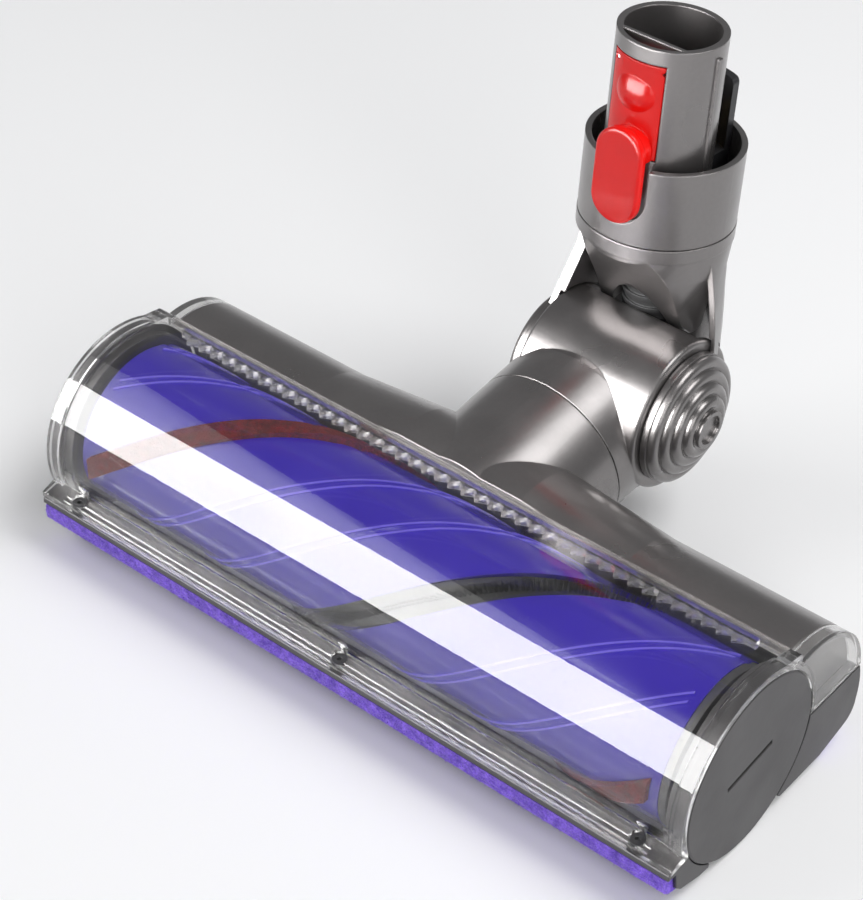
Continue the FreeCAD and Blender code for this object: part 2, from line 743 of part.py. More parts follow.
def make_wheels():
    axles = []
    rollers = []
    for side, name in ((-1, "left"), (1, "right")):
        x = side * wheel_x
        half = wheel_width / 2
        wheel = disc_x(wheel_radius, x - half, x + half, wheel_y, wheel_radius)
        wheel = wheel.makeFillet(0.8, [e for e in wheel.Edges if e.Curve.TypeId == "Part::GeomCircle"])
        for face_x in (x - half, x + half):
            dish = tube_x(wheel_radius - 1.8, 2.8, face_x - 1.2, face_x + 1.2, wheel_y, wheel_radius)
            wheel = wheel.cut(dish)
        wheel = wheel.cut(disc_x(1.5 + shaft_clearance, x - half - 1, x + half + 1, wheel_y, wheel_radius))
        parts["rear_wheel_" + name] = wheel
        axles.append(disc_x(1.5, x - half - 2.4, x + half + 2.4, wheel_y, wheel_radius))
        x = side * roller_x
        half = roller_width / 2
        roller = disc_x(roller_radius, x - half, x + half, roller_y, roller_radius)
        roller = roller.makeFillet(0.6, [e for e in roller.Edges if e.Curve.TypeId == "Part::GeomCircle"])
        parts["front_roller_" + name] = roller.cut(
            disc_x(1.0 + shaft_clearance, x - half - 1, x + half + 1, roller_y, roller_radius))
        rollers.append(disc_x(1.0, x - half - 3.0, x + half + 3.0, roller_y, roller_radius))
    parts["wheel_axles"] = group(axles)
    parts["roller_axles"] = group(rollers)


def ball_sector(radius, start, end, x0, x1):
    """A slice of a cylinder about the elbow's axis, between two angles from +Y."""
    a = polar(radius, start, elbow_y, elbow_z)
    m = polar(radius, (start + end) / 2, elbow_y, elbow_z)
    b = polar(radius, end, elbow_y, elbow_z)
    return prism_x([(elbow_y, elbow_z), a, (m, b)], x0, x1)


def blend_section(distance, half_width, half_height, power, x=0.0, points=32):
    """A closed superellipse square to the duct's axis, between a circle and a rounded box."""
    centre = duct_point(distance)
    up = Vector(0, -duct_direction.z, duct_direction.y)
    curve = []
    for i in range(points):
        t = 2 * math.pi * i / points
        c = math.cos(t)
        s = math.sin(t)
        across = math.copysign(abs(c) ** (2 / power), c) * half_width
        height = math.copysign(abs(s) ** (2 / power), s) * half_height
        curve.append(centre + Vector(x + across, 0, 0) + up * height)
    spline = Part.BSplineCurve()
    spline.interpolate(curve, PeriodicFlag=True)
    return Part.Wire(spline.toShape())


def make_neck():
    """The swivel neck: a spigot and collar on the duct's axis, and the elbow's hollow barrel."""
    middle = (ball_left + ball_right) / 2
    half = (ball_right - ball_left) / 2 - 1.2
    reach = elbow_y - seam_y
    spigot = duct_cylinder(spigot_radius, -spigot_length, seam_gap + 1)
    collar = duct_cylinder(duct_radius, seam_gap, collar_length)
    shoulder = Part.makeLoft([
        blend_section(collar_length - 1.5, duct_radius - 0.25, duct_radius - 0.25, 2.0),
        blend_section(collar_length + 7.0, 27.2, 26.6, 2.5, middle * 0.35),
        blend_section(reach + 1.0, half, ball_radius - 1.6, 4.5, middle),
    ], True, False)
    barrel = disc_x(ball_radius, ball_left, ball_right, elbow_y, elbow_z)
    barrel = barrel.makeFillet(1.4, [e for e in barrel.Edges if e.Curve.TypeId == "Part::GeomCircle"])
    neck = fuse(spigot, collar, shoulder, barrel)
    inner_left = ball_left + ball_wall
    inner_right = ball_right - ball_wall
    neck = neck.cut(disc_x(ball_radius - ball_wall, inner_left, inner_right, elbow_y, elbow_z))
    throat = duct_cylinder(neck_bore_radius, -spigot_length + 3.0, reach)
    neck = neck.cut(throat.common(box(inner_left, 60, 0, elbow_y, 0, 100)))
    neck = neck.cut(duct_cylinder(hose_radius, -spigot_length - 1, 0))
    opening = ball_sector(60.0, ball_opening_rear, ball_opening_front, inner_left, inner_right)
    neck = neck.cut(opening)
    seat = arm_disc_radius + seam_gap
    neck = neck.cut(disc_x(seat, -60.0, ball_left, elbow_y, elbow_z))
    neck = neck.cut(disc_x(seat, ball_right, 60.0, elbow_y, elbow_z))
    hole = elbow_pin_radius + shaft_clearance
    neck = neck.cut(disc_x(hole, ball_left - 1, ball_right + 1, elbow_y, elbow_z))
    clip_seat = duct_cylinder(spigot_radius + 1, -5.9, -4.1).cut(duct_cylinder(spigot_radius - 1.6, -7, -3))
    seal_seat = duct_cylinder(spigot_radius + 1, -10.5, -8.5).cut(duct_cylinder(spigot_radius - 1.3, -12, -7))
    parts["swivel_neck"] = neck.cut(clip_seat).cut(seal_seat)
    clip = duct_cylinder(spigot_radius + clip_reach, -5.8, -4.2).cut(duct_cylinder(spigot_radius - 1.6, -7, -3))
    parts["swivel_clip"] = clip.cut(box(-3, 3, 0, 200, 0, seam_z))
    seal = duct_cylinder(spigot_radius - 0.02, -10.4, -8.6).cut(duct_cylinder(spigot_radius - 1.3, -12, -7))
    parts["neck_seal"] = seal


def wand_turn(shape):
    return shape.rotated(elbow, X_AXIS, -wand_lean)


def wand_cylinder(radius, low, high, offset=0.0, x=0.0):
    start = elbow + Vector(x, tube_offset + offset, low)
    return cylinder(radius, start, Z_AXIS, high - low)


def wand_ellipse(height, offset, x, half_width, half_depth, points=24):
    """A level section of the yoke: its centre lies offset behind the tube's axis."""
    centre = elbow + Vector(x, tube_offset + offset, height)
    curve = []
    for i in range(points):
        t = 2 * math.pi * i / points
        curve.append(centre + Vector(half_width * math.cos(t), half_depth * math.sin(t), 0))
    spline = Part.BSplineCurve()
    spline.interpolate(curve, PeriodicFlag=True)
    return Part.Wire(spline.toShape())


def wand_round(height, offset, x, radius):
    return wand_ellipse(height, offset, x, radius, radius)


def yoke_saddle(inset=0.0):
    """The shell that wraps the barrel from behind and carries the arms, grown inwards by inset."""
    low = 4.0 - inset
    return Part.makeLoft([
        wand_ellipse(low, -10.6, 4.5, 26.6 - inset, 34.5 - inset),
        wand_ellipse(27.0, -10.6, 4.5, 26.6 - inset, 34.5 - inset),
        wand_ellipse(41.0, -4.6, 3.2, 24.4 - inset, 29.6 - inset),
        wand_ellipse(band_bottom + 0.5, collar_offset - 0.4, 0.0, 24.6 - inset, 24.9 - inset),
    ], True, False)


def make_yoke():
    """The elbow's moving half: a band under the collar, a cone, a saddle and two arm discs."""
    band_top = collar_seam - seam_gap
    axis_y = elbow_y + tube_offset
    band = wand_cylinder(collar_radius + 0.1, band_bottom, band_top, collar_offset)
    cone = Part.makeLoft([
        wand_round(band_bottom + 1.0, collar_offset, 0.0, collar_radius - 0.2),
        wand_round(41.1, 3.0, 2.6, 21.9),
        wand_round(31.9, 3.0, 3.0, 18.7),
        wand_round(20.0, 3.4, 2.6, 17.2),
    ], True, False)
    saddle = yoke_saddle().cut(yoke_saddle(2.2))
    behind = box(0, 60, elbow_y + 12.0, elbow_y + 80, elbow_z, elbow_z + 70).fuse(
        box(-60, 0, elbow_y + 19.0, elbow_y + 80, elbow_z, elbow_z + 70))
    saddle = saddle.common(behind)
    right_inner = ball_right + seam_gap
    left_inner = ball_left - seam_gap
    discs = [
        disc_x(arm_disc_radius, right_inner, right_inner + arm_thickness, elbow_y, elbow_z),
        disc_x(arm_disc_radius, left_inner - arm_thickness, left_inner, elbow_y, elbow_z),
    ]
    facet_top = Vector(0, axis_y + collar_offset - collar_radius + facet_step, elbow_z + band_bottom)
    facet_lean = math.degrees(math.atan2(12.0, 28.0)) + wand_lean
    slab = Part.makeBox(80, 30, 80, facet_top + Vector(-40, -30, -80))
    front = band.fuse(cone).cut(slab.rotated(facet_top, X_AXIS, facet_lean))
    arm_plan = [(-6.0, 21.0), (7.0, 40.0), (9.0, 47.0), (26.0, 47.0), (27.0, 30.0), (22.0, 3.0)]
    arm = prism_x([(elbow_y + back, elbow_z + up) for back, up in arm_plan],
                  left_inner - arm_thickness, left_inner + 1.6)
    yoke = fuse(front, saddle, arm, *discs)
    yoke = yoke.cut(disc_x(ball_radius + 0.5, left_inner, right_inner, elbow_y, elbow_z))
    yoke = yoke.cut(wand_cylinder(tube_radius, tube_foot, band_top + 1))
    channel = Part.makeLoft([
        wand_round(tube_foot + 1.0, 0.0, 0.0, 15.4),
        wand_round(44.0, 3.4, 1.6, 13.2),
        wand_round(32.0, 4.6, 2.2, 12.8),
        wand_round(14.0, 6.2, 2.6, 12.6),
    ], True, False)
    yoke = yoke.cut(channel)
    yoke = yoke.cut(disc_x(elbow_pin_radius, -60, 60, elbow_y, elbow_z))
    for x, y in yoke_screw_points():
        yoke = yoke.cut(cylinder(1.0, Vector(x, y, elbow_z + collar_seam - 8.0), Z_AXIS, 10))
    parts["elbow_yoke"] = wand_turn(yoke)
    right_cap = right_inner + arm_thickness
    left_cap = left_inner - arm_thickness
    parts["elbow_cap_right"] = wand_turn(make_elbow_cap(right_cap, 1))
    parts["elbow_cap_left"] = wand_turn(make_elbow_cap(left_cap, -1))
    pins = [
        disc_x(elbow_pin_radius, ball_right - ball_wall - 2.2, right_cap, elbow_y, elbow_z),
        disc_x(elbow_pin_radius, left_cap, ball_left + ball_wall + 2.2, elbow_y, elbow_z),
    ]
    parts["elbow_pins"] = wand_turn(group(pins))


def yoke_screw_points():
    y = elbow_y + tube_offset + collar_offset
    return [(20.6 * math.cos(a), y + 20.6 * math.sin(a)) for a in (math.radians(18), math.radians(162))]


def make_elbow_cap(x, side):
    """A stepped cone of rounded ridges that climbs to a recessed hub."""
    rim = arm_disc_radius - 0.5
    edges = []
    here = Vector(x, elbow_y, elbow_z)

    def spot(radius, height):
        return Vector(x + side * height, elbow_y + radius, elbow_z)

    def line_to(point):
        nonlocal here
        edges.append(Part.makeLine(here, point))
        here = point

    line_to(spot(rim, 0.0))
    radius = rim
    height = 0.5
    line_to(spot(radius, height))
    for i in range(cap_ridges):
        middle = spot(radius - 1.3, height + cap_ridge_rise + 0.35)
        end = spot(radius - cap_ridge_pitch, height + cap_ridge_rise)
        edges.append(Part.Arc(here, middle, end).toShape())
        here = end
        radius -= cap_ridge_pitch
        height += cap_ridge_rise
    line_to(spot(cap_hub_radius, height))
    line_to(spot(cap_hub_radius, height + 1.6))
    line_to(spot(cap_hub_radius - 1.5, height + 1.6))
    line_to(spot(cap_hub_radius - 1.5, height + 0.4))
    line_to(spot(0.0, height + 0.4))
    line_to(Vector(x, elbow_y, elbow_z))
    return Part.Face(Part.Wire(edges)).revolve(Vector(x, elbow_y, elbow_z), X_AXIS, 360)


def make_shield():
    """The curved shield on the elbow pins that slides inside the barrel behind its opening."""
    outer = ball_radius - ball_wall - 0.4
    start = 76.0
    end = 146.0
    left = ball_left + ball_wall + 0.4
    right = ball_right - ball_wall - 0.4
    drum = ball_sector(outer, start, end, left, right).cut(
        disc_x(outer - 1.4, left - 1, right + 1, elbow_y, elbow_z))
    sides = []
    for x0, x1 in ((left, left + 1.4), (right - 1.4, right)):
        sides.append(ball_sector(outer, start, end, x0, x1))
        sides.append(disc_x(elbow_pin_radius + 2.0, x0, x1, elbow_y, elbow_z))
    shield = fuse(drum, *sides)
    shield = shield.cut(disc_x(elbow_pin_radius, left - 1, right + 1, elbow_y, elbow_z))
    parts["inner_shield"] = wand_turn(shield)


def hose_points():
    """The hose's middle line: back along the duct, out of the barrel's opening, up to the tube."""
    lean = math.radians(wand_lean)
    back = Vector(0, math.cos(lean), -math.sin(lean))
    up = Vector(0, math.sin(lean), math.cos(lean))

    def local(u, w, x=0.0):
        return elbow + back * u + up * w + X_AXIS * x

    return [
        duct_point(-spigot_length + 0.6),
        duct_point(-2.0),
        duct_point(14.0, -0.5),
        local(2.0, -1.0, 0.4),
        local(14.5, 8.0, 1.4),
        local(18.8, 21.0, 2.4),
        local(17.2, 34.0, 2.1),
        local(tube_offset + 2.8, 45.0, 1.3),
        local(tube_offset + 1.0, 51.0, 0.6),
    ]


def make_hose():
    """The ribbed hose that carries the air round the elbow, from the spigot to the tube."""
    spline = Part.BSplineCurve()
    spline.interpolate(hose_points())
    path = Part.Wire(spline.toShape())
    start = spline.value(spline.FirstParameter)
    direction = spline.tangent(spline.FirstParameter)[0]
    solids = []
    groove = hose_radius - 0.9
    for radius in (groove, groove - hose_wall):
        ring = Part.Wire([Part.Circle(start, direction, radius).toShape()])
        solids.append(path.makePipeShell([ring], True, False))
    hose = solids[0].cut(solids[1])
    length = spline.length()
    count = int(length / 4.4)
    ribs = []
    for i in range(count):
        place = spline.parameterAtDistance((i + 0.5) * length / count, spline.FirstParameter)
        point = spline.value(place)
        tangent = spline.tangent(place)[0]
        rib = cylinder(hose_radius - 0.1, point - tangent * 0.8, tangent, 1.6)
        ribs.append(rib.cut(cylinder(groove - hose_wall * 0.5, point - tangent, tangent, 2.0)))
    parts["elbow_hose"] = hose.multiFuse(ribs)


def stadium(y0, y1, half_width, low, high, top_round=True):
    """A front view with round ends, extruded back from y0 to y1 of the tube's axis."""
    x = half_width
    bottom = Vector(0, y0, low)
    edges = []
    if top_round:
        left = Vector(-x, y0, high - x)
        right = Vector(x, y0, high - x)
        edges.append(Part.Arc(left, Vector(0, y0, high), right).toShape())
    else:
        left = Vector(-x, y0, high)
        right = Vector(x, y0, high)
        edges.append(Part.makeLine(left, right))
    edges.append(Part.makeLine(right, Vector(x, y0, low + x)))
    edges.append(Part.Arc(Vector(x, y0, low + x), bottom, Vector(-x, y0, low + x)).toShape())
    edges.append(Part.makeLine(Vector(-x, y0, low + x), left))
    solid = Part.Face(Part.Wire(edges)).extrude(Vector(0, y1 - y0, 0))
    return solid.translated(elbow + Vector(pad_centre, tube_offset, 0))


def button_band(inner, outer, slack, low, high):
    ring = wand_cylinder(outer, low, high).cut(wand_cylinder(inner, low - 1, high + 1))
    y0 = elbow_y + tube_offset
    return ring.common(box(button_left - slack, button_right + slack, y0 - 30, y0, elbow_z, elbow_z + 140))


def make_wand():
    """The socket for the wand: a tube with a flat slot, an outer collar and the plug block."""
    tube_inner = tube_radius - tube_wall
    y0 = elbow_y + tube_offset
    tube = wand_cylinder(tube_radius, tube_foot, tube_top)
    bore = wand_cylinder(tube_inner, tube_foot - 1, tube_top + 1)
    bore = bore.cut(box(-20, 20, y0 - 30, y0 - slot_chord, elbow_z, elbow_z + 130))
    tube = tube.cut(bore)
    slot = wand_cylinder(tube_inner + 0.6, pad_bottom - 4.0, tube_top + 1)
    slot = slot.common(box(-11.5, 11.5, y0 - 30, y0 - slot_chord - slot_wall, elbow_z, elbow_z + 130))
    tube = tube.cut(slot)
    tube = tube.cut(button_band(tube_inner - 2, tube_radius + 2, button_gap, button_bottom - 0.4,
                                button_top + 0.4))
    for side in (-1, 1):
        x = side * (tube_radius + 0.3)
        low = elbow_z + collar_seam + 3.0
        tube = tube.fuse(box(x - 0.9, x + 0.5, y0 - 1.0, y0 + 1.0, low, elbow_z + tube_top - 4.0))
    parts["wand_tube"] = wand_turn(tube.removeSplitter())
    collar = wand_cylinder(collar_radius, collar_seam, collar_top, collar_offset)
    bowl = wand_cylinder(collar_radius - collar_wall, collar_seam + 2.2, collar_top + 1, collar_offset)
    collar = collar.cut(bowl).cut(wand_cylinder(tube_radius, collar_seam - 1, collar_top + 1))
    notch = stadium(-40.0, -tube_radius, pad_half_width + notch_gap, pad_bottom - notch_gap,
                    collar_top + 9, False)
    collar = collar.cut(notch)
    for x, y in yoke_screw_points():
        collar = collar.cut(cylinder(1.1, Vector(x, y, elbow_z + collar_seam - 1), Z_AXIS, 5))
    parts["wand_collar"] = wand_turn(collar)
    screws = []
    for x, y in yoke_screw_points():
        screws.append(make_screw(x, y, elbow_z + collar_seam + 2.2, Z_AXIS, shank=8.0))
    parts["yoke_screws"] = wand_turn(group(screws))
    make_button(y0, tube_inner)
    make_plug(y0)


def make_button(y0, tube_inner):
    strip = button_band(tube_radius - button_wall, tube_radius, 0.0, button_bottom, button_top)
    pad = stadium(-pad_front, -pad_front + 2.8, pad_half_width, pad_bottom, pad_top)
    pad = pad.makeFillet(1.3, [e for e in pad.Edges if e.BoundBox.YMax < y0 - pad_front + 0.1])
    neck = stadium(-pad_front + 2.0, -tube_inner - 1.2, pad_half_width - 1.2, button_bottom - 10.0,
                   pad_top - 1.2)
    neck = neck.common(box(-20, 20, 0, 200, elbow_z + button_bottom + 0.4, elbow_z + 130))
    bump = Part.makeSphere(9.2, Vector((button_left + button_right) / 2 + 0.6, y0 - 10.0, elbow_z + bump_height))
    bump = bump.common(box(-20, 20, y0 - 30, y0 - tube_inner - 0.9, elbow_z + 90, elbow_z + 125))
    button = fuse(strip, pad, neck, bump)
    pin_z = elbow_z + button_top - 2.2
    pin_y = y0 - tube_inner + 0.6
    ear = box(-6.0, 4.0, pin_y - 1.9, pin_y + 1.3, pin_z - 1.6, pin_z + 1.6)
    button = fuse(button, ear).cut(disc_x(0.8 + shaft_clearance, -20, 20, pin_y, pin_z))
    parts["release_button"] = wand_turn(button)
    parts["button_pin"] = wand_turn(disc_x(0.8, -8.6, 6.6, pin_y, pin_z))
    spring_z = elbow_z + pad_bottom + 7.5
    coil = Part.makeHelix(0.95, 3.0, 2.0)
    wire = Part.Wire([Part.Circle(Vector(2.0, 0, 0), Y_AXIS, 0.28).toShape()])
    spring = Part.Wire(coil).makePipeShell([wire], True, True)
    spring = spring.rotated(Vector(0, 0, 0), X_AXIS, 90)
    spring = spring.translated(Vector(pad_centre, y0 - tube_radius - 0.3, spring_z))
    parts["button_spring"] = wand_turn(spring)


def make_plug(y0):
    """The plug block behind the tube, with its curved back plate and three contact blades."""
    floor = collar_seam + 2.2
    rear = collar_radius - collar_wall
    block = box(-11.0, 11.0, y0 + 8, y0 + 40, elbow_z + floor, elbow_z + floor + 17.0)
    plate = box(-11.0, 11.0, y0 + 8, y0 + 40, elbow_z + floor + 10.0, elbow_z + plate_top)
    round_back = wand_cylinder(rear - 0.1, 40, 130, collar_offset)
    block = block.common(round_back).cut(wand_cylinder(tube_radius + 0.5, 40, 130))
    plate = plate.common(round_back).cut(wand_cylinder(rear - 3.0, 40, 130, collar_offset))
    plate = plate.makeFillet(1.6, [e for e in plate.Edges if e.BoundBox.ZMin > elbow_z + plate_top - 0.1
                                   and e.BoundBox.XLength < 1.0])
    plug = block.fuse(plate).removeSplitter()
    blades = []
    for x in (-6.0, 0.0, 6.0):
        plug = plug.cut(box(x - 0.6, x + 0.6, y0 + 19.6, y0 + 22.4, elbow_z + floor + 11.0, elbow_z + 100))
        blades.append(box(x - 0.4, x + 0.4, y0 + 19.8, y0 + 22.2, elbow_z + floor + 11.0, elbow_z + 91.0))
    parts["plug_block"] = wand_turn(plug)
    parts["contact_blades"] = wand_turn(group(blades))


def make_fixings():
    """Screws for the cover and the sole, and the board with its parts in the left wing."""
    seat = flange_screw_seat()
    cover = [make_screw(x, flange_screw_y(), seat, Z_AXIS, shank=3.4, head=2.4) for x in flange_screw_x()]
    parts["cover_screws"] = group(cover)
    sole = [make_screw(x, y, sole_z + 1.6, -Z_AXIS, shank=8.9, head=2.3) for x, y in sole_screw_points()]
    parts["sole_screws"] = group(sole)
    board_z = sole_z + sole_thickness + board_rise
    top = board_z + board_thickness
    parts["circuit_board"] = box(board_left, board_left + board_length, board_y, board_y + board_width, board_z, top)
    middle = board_y + board_width / 2
    chips = [
        cylinder(3.4, Vector(board_left + 7.0, middle, top), Z_AXIS, 8.5),
        cylinder(3.4, Vector(board_left + 15.5, middle, top), Z_AXIS, 8.5),
        box(board_left + 21.0, board_left + 27.0, middle - 5.0, middle + 1.0, top, top + 1.6),
        box(board_left + 21.0, board_left + 25.0, middle + 2.0, middle + 5.0, top, top + 1.2),
        box(board_left + 30.0, board_left + 36.0, middle - 3.0, middle + 3.0, top, top + 4.0),
    ]
    parts["board_parts"] = group(chips)


for function in (make_brush_bar, make_motor, make_end_cap, make_wheels, make_neck, make_yoke, make_shield,
                 make_hose, make_wand, make_fixings):
    function()
parts["clear_cover"] = make_cover()
parts["vane_comb"] = make_vanes()
parts["rear_housing"] = make_rear_housing()
parts["air_duct"] = make_air_duct()
parts["base_frame"] = make_base()
parts["front_felt"], parts["rear_felt"] = make_felts()

os.makedirs("parts", exist_ok=True)
whole = Part.makeCompound(list(parts.values()))
extent = whole.optimalBoundingBox(False)
shift = Vector(-(extent.XMin + extent.XMax) / 2, -(extent.YMin + extent.YMax) / 2, -extent.ZMin)
print("shift", tuple(round(v, 4) for v in shift), "size", extent.XLength, extent.YLength, extent.ZLength)
for name, shape in parts.items():
    placed = shape.translated(shift)
    print(name, len(placed.Solids), placed.isValid(), round(placed.Volume, 1))
    placed.exportStep("parts/" + name + ".step")
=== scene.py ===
import json
import math
import random
import bpy
from mathutils import Matrix, Vector


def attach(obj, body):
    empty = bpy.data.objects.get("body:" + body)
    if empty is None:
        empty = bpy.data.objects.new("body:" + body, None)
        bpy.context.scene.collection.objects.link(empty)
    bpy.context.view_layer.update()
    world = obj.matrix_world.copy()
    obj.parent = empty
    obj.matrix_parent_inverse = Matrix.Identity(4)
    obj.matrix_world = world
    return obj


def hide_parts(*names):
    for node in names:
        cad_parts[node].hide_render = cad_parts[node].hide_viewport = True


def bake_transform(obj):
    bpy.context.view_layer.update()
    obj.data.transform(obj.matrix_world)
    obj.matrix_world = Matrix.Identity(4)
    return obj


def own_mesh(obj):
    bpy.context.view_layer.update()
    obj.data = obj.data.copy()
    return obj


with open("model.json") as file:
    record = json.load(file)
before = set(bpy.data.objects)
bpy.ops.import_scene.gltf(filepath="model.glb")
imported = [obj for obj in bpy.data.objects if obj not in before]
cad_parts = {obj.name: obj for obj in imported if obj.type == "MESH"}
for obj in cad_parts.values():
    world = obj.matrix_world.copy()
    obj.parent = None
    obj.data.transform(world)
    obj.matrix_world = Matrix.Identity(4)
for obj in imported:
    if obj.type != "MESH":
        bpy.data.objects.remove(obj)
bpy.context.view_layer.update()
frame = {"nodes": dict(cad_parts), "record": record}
nodes = frame["nodes"]
random.seed(7)

# Sizes are in metres. The brush bar's axis lies at (y BAR_Y, z BAR_Z).
BAR_Y = -0.0551448
BAR_Z = 0.0315
# RIDGE_FOOT and RIDGE_TOP bound the core's raised lines, which get a painted highlight.
RIDGE_FOOT = 0.02656
RIDGE_TOP = 0.0269
TWIST = math.radians(-1660.0)
PLUSH_ANGLE = math.radians(-4.6)
BRISTLE_ANGLE = PLUSH_ANGLE + math.pi
STRIP_LEFT = -0.1117
STRIP_RIGHT = 0.1087

# The bristles stand in two rows of tufts. Roots and tips are radii from the bar's axis.
TUFT_PITCH = 0.00125
TUFT_MARGIN = 0.0009
TUFT_ROWS = (-0.00062, 0.00062)
TUFT_HAIRS = 11
TUFT_RADIUS = 0.00036
TUFT_SPREAD = 1.9
TUFT_ROOT = 0.0242
TUFT_TIP = 0.0288
BRISTLE_THICKNESS = 0.00007

# The plush's pile, by the same radii.
PILE_HAIRS = 9000
PILE_HALF_WIDTH = 0.0040
PILE_ROOT = 0.0253
PILE_TIP = 0.0279
PILE_THICKNESS = 0.00012

# The felts' loose fibres, and the lowest height that one reaches.
FUZZ_HAIRS = {"front_felt": 16000, "rear_felt": 6000}
FUZZ_LENGTH = 0.0008
FUZZ_THICKNESS = 0.00005
FUZZ_LOWEST = 0.0006

# The camera, and the long softbox whose edges bound the cover's highlight.
CAMERA_AZIMUTH = math.radians(39.724)
CAMERA_ELEVATION = math.radians(40.393)
CAMERA_PLACE = (0.3726, -0.4391 + BAR_Y, 0.5715)
CAMERA_LENS = 103.15
STRIPE_LOW = math.radians(128.0)
STRIPE_HIGH = math.radians(178.0)
STRIPE_DISTANCE = 0.6
STRIPE_LENGTH = 1.1
STRIPE_X = -0.28
STRIPE_POWER = 42.0
LIGHTS_AIM = (0.0, 0.0, 0.06)


def material(name):
    """An empty node material: the material, its nodes and its links."""
    mat = bpy.data.materials.new(name)
    mat.use_nodes = True
    mat.node_tree.nodes.clear()
    return mat, mat.node_tree.nodes, mat.node_tree.links


def add(tree_nodes, kind, **inputs):
    """A node with some of its inputs set."""
    node = tree_nodes.new(kind)
    for key, value in inputs.items():
        node.inputs[key.replace("_", " ")].default_value = value
    return node


def noise_of(tree_nodes, links, coords, scale, detail=2.0, rough=0.5):
    """Noise in the piece's own coordinates."""
    node = add(tree_nodes, "ShaderNodeTexNoise", Scale=scale, Detail=detail, Roughness=rough)
    links.new(coords.outputs["Object"], node.inputs["Vector"])
    return node


def ranged(tree_nodes, links, source, low, high):
    """Noise spread over the range from low to high."""
    node = add(tree_nodes, "ShaderNodeMapRange")
    node.inputs["From Min"].default_value = 0.3
    node.inputs["From Max"].default_value = 0.7
    node.inputs["To Min"].default_value = low
    node.inputs["To Max"].default_value = high
    links.new(source, node.inputs["Value"])
    return node.outputs["Result"]


def solid(name, colour, rough, metallic=0.0, coat=0.0, grain=700.0, grain_depth=0.00002, edge=0.0004,
          spread=0.06, colour_spread=0.05, coat_rough=0.1, spec=0.5):
    """A moulded or metal surface: fine grain, uneven gloss and tone, and softened edges."""
    mat, n, links = material(name)
    out = n.new("ShaderNodeOutputMaterial")
    shader = add(n, "ShaderNodeBsdfPrincipled")
    coords = n.new("ShaderNodeTexCoord")
    shader.inputs["Metallic"].default_value = metallic
    shader.inputs["Coat Weight"].default_value = coat
    shader.inputs["Coat Roughness"].default_value = coat_rough
    shader.inputs["Specular IOR Level"].default_value = spec
    broad = noise_of(n, links, coords, 38.0, 3.0)
    fine = noise_of(n, links, coords, grain, 2.0)
    gloss = ranged(n, links, broad.outputs["Fac"], rough - spread, rough + spread)
    links.new(gloss, shader.inputs["Roughness"])
    mix = n.new("ShaderNodeMix")
    mix.data_type = "RGBA"
    mix.inputs["A"].default_value = tuple(c * (1 - colour_spread) for c in colour) + (1.0,)
    mix.inputs["B"].default_value = tuple(min(1.0, c * (1 + colour_spread)) for c in colour) + (1.0,)
    links.new(fine.outputs["Fac"], mix.inputs["Factor"])
    links.new(mix.outputs["Result"], shader.inputs["Base Color"])
    bump = add(n, "ShaderNodeBump", Strength=1.0, Distance=grain_depth)
    links.new(fine.outputs["Fac"], bump.inputs["Height"])
    if edge:
        bevel = n.new("ShaderNodeBevel")
        bevel.samples = 4
        bevel.inputs["Radius"].default_value = edge
        links.new(bevel.outputs["Normal"], bump.inputs["Normal"])
    links.new(bump.outputs["Normal"], shader.inputs["Normal"])
    links.new(shader.outputs["BSDF"], out.inputs["Surface"])
    return mat


def painted_ridge_highlight(mat, tone):
    """Paints a highlight onto the raised lines that stand out from the brush bar's axis: tone is the
    lighter painted highlight colour.
    """
    n = mat.node_tree.nodes
    links = mat.node_tree.links
    shader = next(node for node in n if node.type == "BSDF_PRINCIPLED")
    plain = shader.inputs["Base Color"].links[0].from_socket
    coords = n.new("ShaderNodeTexCoord")
    offset = n.new("ShaderNodeVectorMath")
    offset.operation = "SUBTRACT"
    offset.inputs[1].default_value = (0.0, BAR_Y, BAR_Z)
    flat = n.new("ShaderNodeVectorMath")
    flat.operation = "MULTIPLY"
    flat.inputs[1].default_value = (0.0, 1.0, 1.0)
    radius = n.new("ShaderNodeVectorMath")
    radius.operation = "LENGTH"
    links.new(coords.outputs["Object"], offset.inputs[0])
    links.new(offset.outputs["Vector"], flat.inputs[0])
    links.new(flat.outputs["Vector"], radius.inputs[0])
    # The mask runs from the raised lines' foot to their top, where the painted highlight colour is
    # mixed in.
    share = n.new("ShaderNodeMapRange")
    share.inputs["From Min"].default_value = RIDGE_FOOT
    share.inputs["From Max"].default_value = RIDGE_TOP
    links.new(radius.outputs["Value"], share.inputs["Value"])
    mix = n.new("ShaderNodeMix")
    mix.data_type = "RGBA"
    mix.inputs["B"].default_value = tone + (1.0,)
    links.new(share.outputs["Result"], mix.inputs["Factor"])
    links.new(plain, mix.inputs["A"])
    links.new(mix.outputs["Result"], shader.inputs["Base Color"])
    return mat


